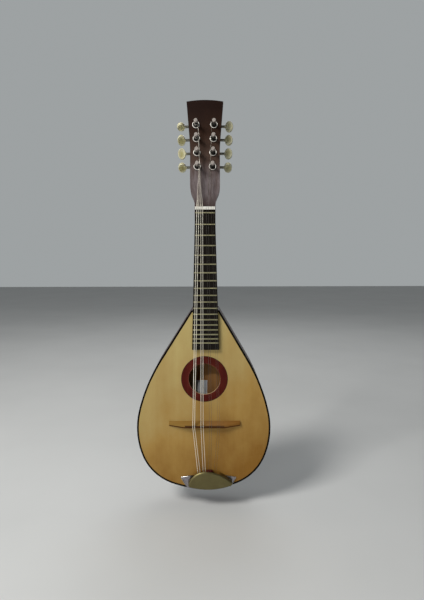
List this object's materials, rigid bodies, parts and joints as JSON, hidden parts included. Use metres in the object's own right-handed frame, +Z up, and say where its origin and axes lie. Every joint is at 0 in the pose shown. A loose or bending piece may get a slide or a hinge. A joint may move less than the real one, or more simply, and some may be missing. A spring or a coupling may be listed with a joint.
{
  "type": "flat-back mandolin",
  "caption": "Teardrop flat-back mandolin with paired strings, round soundhole with wide rosette, floating bridge, covered metal tailpiece and geared tuners.",
  "frame": {"origin": "on the centre line at the zero fret, in the plane of the soundboard's front face", "axes": "+Z up the neck towards the headstock, -Y out of the front, +X to the treble side"},
  "size_m": [0.2266, 0.0753, 0.6568],
  "materials": {
    "top_wood": "clear gloss spruce top",
    "rosette": "red-brown inlay",
    "back_wood": "gloss brown back and sides",
    "inner_wood": "raw inner wood",
    "binding": "black binding",
    "neck_wood": "gloss dark neck",
    "head_wood": "gloss black-brown veneer",
    "board_wood": "dark fretboard",
    "fret_metal": "fret wire",
    "nut_bone": "white nut",
    "nickel": "nickel plate",
    "gear_brass": "brass gear",
    "button_cream": "cream buttons",
    "bridge_wood": "orange-brown bridge",
    "wound": "wound strings",
    "plain": "plain steel strings",
    "paper": "blank paper label"
  },
  "bodies": {
    "instrument": {"soundboard": "top_wood", "rosette_ring": "rosette", "back_plate": "back_wood", "side_bass": "back_wood", "side_treble": "back_wood", "linings": "inner_wood", "bindings": "binding", "neck_block": "inner_wood", "tail_block": "inner_wood", "top_braces": "inner_wood", "back_braces": "inner_wood", "inner_label": "paper", "neck": "neck_wood", "headstock_veneer": "head_wood", "fretboard": "board_wood", "fret_wires": "fret_metal", "nut": "nut_bone", "tuner_plate_right": "nickel", "tuner_plate_left": "nickel", "tuner_plate_screws": "nickel", "post_ferrules": "nickel", "tailpiece_plate": "nickel", "tailpiece_screws": "nickel", "wound_strings": "wound", "plain_strings": "plain"},
    "bridge": {"bridge_base": "bridge_wood", "bridge_saddle": "bridge_wood"},
    "cover": {"tailpiece_cover": "nickel"},
    "key_right_1": {"tuner_button_right_1": "button_cream", "worm_shaft_right_1": "nickel"},
    "post_right_1": {"string_post_right_1": "nickel", "worm_gear_right_1": "gear_brass"},
    "key_right_2": {"tuner_button_right_2": "button_cream", "worm_shaft_right_2": "nickel"},
    "post_right_2": {"string_post_right_2": "nickel", "worm_gear_right_2": "gear_brass"},
    "key_right_3": {"tuner_button_right_3": "button_cream", "worm_shaft_right_3": "nickel"},
    "post_right_3": {"string_post_right_3": "nickel", "worm_gear_right_3": "gear_brass"},
    "key_right_4": {"tuner_button_right_4": "button_cream", "worm_shaft_right_4": "nickel"},
    "post_right_4": {"string_post_right_4": "nickel", "worm_gear_right_4": "gear_brass"},
    "key_left_1": {"tuner_button_left_1": "button_cream", "worm_shaft_left_1": "nickel"},
    "post_left_1": {"string_post_left_1": "nickel", "worm_gear_left_1": "gear_brass"},
    "key_left_2": {"tuner_button_left_2": "button_cream", "worm_shaft_left_2": "nickel"},
    "post_left_2": {"string_post_left_2": "nickel", "worm_gear_left_2": "gear_brass"},
    "key_left_3": {"tuner_button_left_3": "button_cream", "worm_shaft_left_3": "nickel"},
    "post_left_3": {"string_post_left_3": "nickel", "worm_gear_left_3": "gear_brass"},
    "key_left_4": {"tuner_button_left_4": "button_cream", "worm_shaft_left_4": "nickel"},
    "post_left_4": {"string_post_left_4": "nickel", "worm_gear_left_4": "gear_brass"}
  },
  "joints": [
    {"name": "bridge_slide", "type": "slide", "parent": "instrument", "child": "bridge", "axis": [0, 0, 1], "range_m": [-0.008, 0.025], "deforming": ["wound_strings", "plain_strings"]},
    {"name": "cover_slide", "type": "slide", "parent": "instrument", "child": "cover", "axis": [0, 0, -1], "range_m": [0, 0.03]},
    {"name": "key_turn_right_1", "type": "hinge", "parent": "instrument", "child": "key_right_1", "pos_m": [0.01262, 0.0296, 0.07865], "axis": [0.9995, -0.0057, -0.0321], "continuous": true},
    {"name": "post_turn_right_1", "type": "hinge", "parent": "instrument", "child": "post_right_1", "pos_m": [0.0124, 0.02427, 0.07264], "axis": [0, -0.9845, 0.1754], "continuous": true},
    {"name": "key_turn_right_2", "type": "hinge", "parent": "instrument", "child": "key_right_2", "pos_m": [0.01339, 0.03372, 0.10177], "axis": [0.9995, -0.0057, -0.0321], "continuous": true},
    {"name": "post_turn_right_2", "type": "hinge", "parent": "instrument", "child": "post_right_2", "pos_m": [0.01317, 0.02839, 0.09577], "axis": [0, -0.9845, 0.1754], "continuous": true},
    {"name": "key_turn_right_3", "type": "hinge", "parent": "instrument", "child": "key_right_3", "pos_m": [0.01416, 0.03784, 0.12489], "axis": [0.9995, -0.0057, -0.0321], "continuous": true},
    {"name": "post_turn_right_3", "type": "hinge", "parent": "instrument", "child": "post_right_3", "pos_m": [0.01393, 0.03251, 0.11889], "axis": [0, -0.9845, 0.1754], "continuous": true},
    {"name": "key_turn_right_4", "type": "hinge", "parent": "instrument", "child": "key_right_4", "pos_m": [0.01492, 0.04196, 0.14802], "axis": [0.9995, -0.0057, -0.0321], "continuous": true},
    {"name": "post_turn_right_4", "type": "hinge", "parent": "instrument", "child": "post_right_4", "pos_m": [0.0147, 0.03663, 0.14201], "axis": [0, -0.9845, 0.1754], "continuous": true},
    {"name": "key_turn_left_1", "type": "hinge", "parent": "instrument", "child": "key_left_1", "pos_m": [-0.01262, 0.0296, 0.07865], "axis": [0.9995, 0.0057, 0.0321], "continuous": true},
    {"name": "post_turn_left_1", "type": "hinge", "parent": "instrument", "child": "post_left_1", "pos_m": [-0.0124, 0.02427, 0.07264], "axis": [0, -0.9845, 0.1754], "continuous": true},
    {"name": "key_turn_left_2", "type": "hinge", "parent": "instrument", "child": "key_left_2", "pos_m": [-0.01339, 0.03372, 0.10177], "axis": [0.9995, 0.0057, 0.0321], "continuous": true},
    {"name": "post_turn_left_2", "type": "hinge", "parent": "instrument", "child": "post_left_2", "pos_m": [-0.01317, 0.02839, 0.09577], "axis": [0, -0.9845, 0.1754], "continuous": true},
    {"name": "key_turn_left_3", "type": "hinge", "parent": "instrument", "child": "key_left_3", "pos_m": [-0.01416, 0.03784, 0.12489], "axis": [0.9995, 0.0057, 0.0321], "continuous": true},
    {"name": "post_turn_left_3", "type": "hinge", "parent": "instrument", "child": "post_left_3", "pos_m": [-0.01393, 0.03251, 0.11889], "axis": [0, -0.9845, 0.1754], "continuous": true},
    {"name": "key_turn_left_4", "type": "hinge", "parent": "instrument", "child": "key_left_4", "pos_m": [-0.01492, 0.04196, 0.14802], "axis": [0.9995, 0.0057, 0.0321], "continuous": true},
    {"name": "post_turn_left_4", "type": "hinge", "parent": "instrument", "child": "post_left_4", "pos_m": [-0.0147, 0.03663, 0.14201], "axis": [0, -0.9845, 0.1754], "continuous": true}
  ],
  "couplings": [
    {"joint": "post_turn_right_1", "follows": "key_turn_right_1", "ratio": 0.071429},
    {"joint": "post_turn_right_2", "follows": "key_turn_right_2", "ratio": 0.071429},
    {"joint": "post_turn_right_3", "follows": "key_turn_right_3", "ratio": 0.071429},
    {"joint": "post_turn_right_4", "follows": "key_turn_right_4", "ratio": 0.071429},
    {"joint": "post_turn_left_1", "follows": "key_turn_left_1", "ratio": -0.071429},
    {"joint": "post_turn_left_2", "follows": "key_turn_left_2", "ratio": -0.071429},
    {"joint": "post_turn_left_3", "follows": "key_turn_left_3", "ratio": -0.071429},
    {"joint": "post_turn_left_4", "follows": "key_turn_left_4", "ratio": -0.071429}
  ]
}
